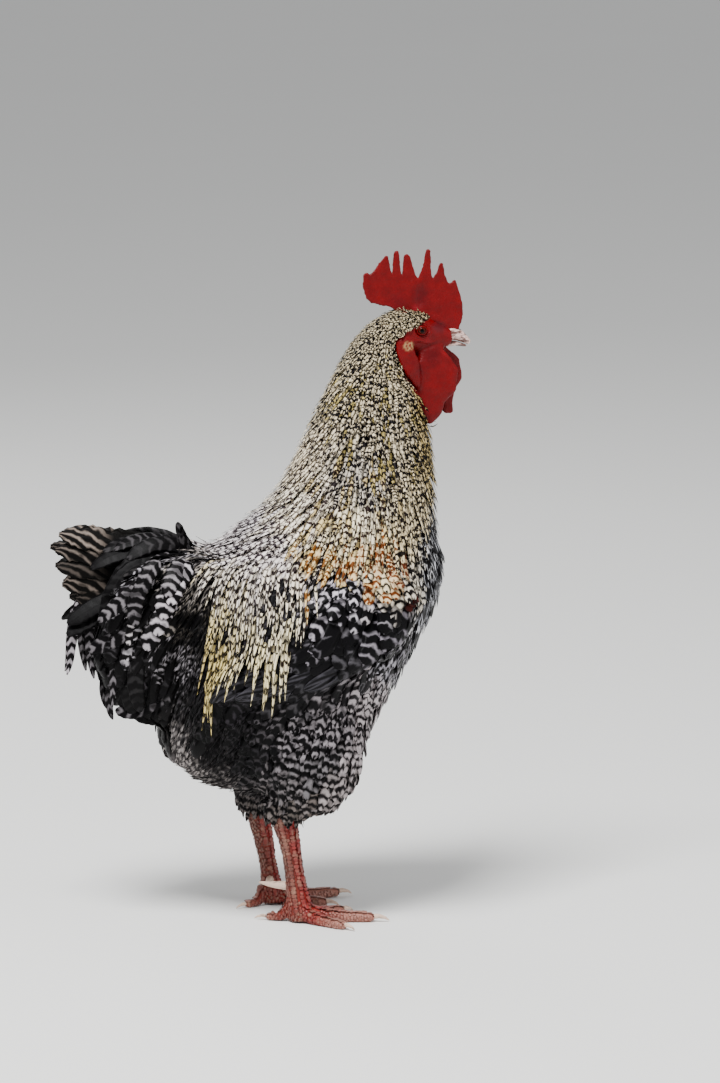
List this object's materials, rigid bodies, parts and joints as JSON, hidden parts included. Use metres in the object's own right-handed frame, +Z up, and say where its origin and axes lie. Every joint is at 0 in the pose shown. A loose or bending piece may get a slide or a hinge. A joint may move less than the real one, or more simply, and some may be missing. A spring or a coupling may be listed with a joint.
{
  "type": "standing cockerel",
  "caption": "Life-size cuckoo-barred cockerel of a heavy breed, standing still and upright on both feet, with a tall single comb and long wattles.",
  "frame": {"origin": "middle of the bird's box on the floor that it stands on", "axes": "+X the way the bird faces, +Y its left side, +Z up"},
  "size_m": [0.3936, 0.2142, 0.6211],
  "materials": {
    "hackle_feathers": "matte",
    "body_feathers": "matte",
    "wing_feathers": "satin",
    "tail_feathers": "satin",
    "comb_skin": "satin",
    "ear_lobe": "satin",
    "leg_scales": "satin",
    "horn": "satin",
    "eye": "gloss"
  },
  "bodies": {
    "root": {"bill_lower": "horn", "bill_upper": "horn", "claw_hind_left": "horn", "claw_hind_right": "horn", "claw_inner_left": "horn", "claw_inner_right": "horn", "claw_middle_left": "horn", "claw_middle_right": "horn", "claw_outer_left": "horn", "claw_outer_right": "horn", "comb": "comb_skin", "ear_lobe_left": "ear_lobe", "ear_lobe_right": "ear_lobe", "eye_left": "eye", "eye_right": "eye", "head": "comb_skin", "neck": "hackle_feathers", "shank_left": "leg_scales", "shank_right": "leg_scales", "spur_left": "horn", "spur_right": "horn", "tail_coverts_left": "tail_feathers", "tail_coverts_right": "tail_feathers", "tail_fan": "tail_feathers", "tail_sickle_left": "tail_feathers", "tail_sickle_right": "tail_feathers", "thigh_left": "body_feathers", "thigh_right": "body_feathers", "toe_hind_left": "leg_scales", "toe_hind_right": "leg_scales", "toe_inner_left": "leg_scales", "toe_inner_right": "leg_scales", "toe_middle_left": "leg_scales", "toe_middle_right": "leg_scales", "toe_outer_left": "leg_scales", "toe_outer_right": "leg_scales", "trunk": "body_feathers", "wattle_left": "comb_skin", "wattle_right": "comb_skin", "wing_left": "wing_feathers", "wing_right": "wing_feathers"}
  },
  "joints": []
}
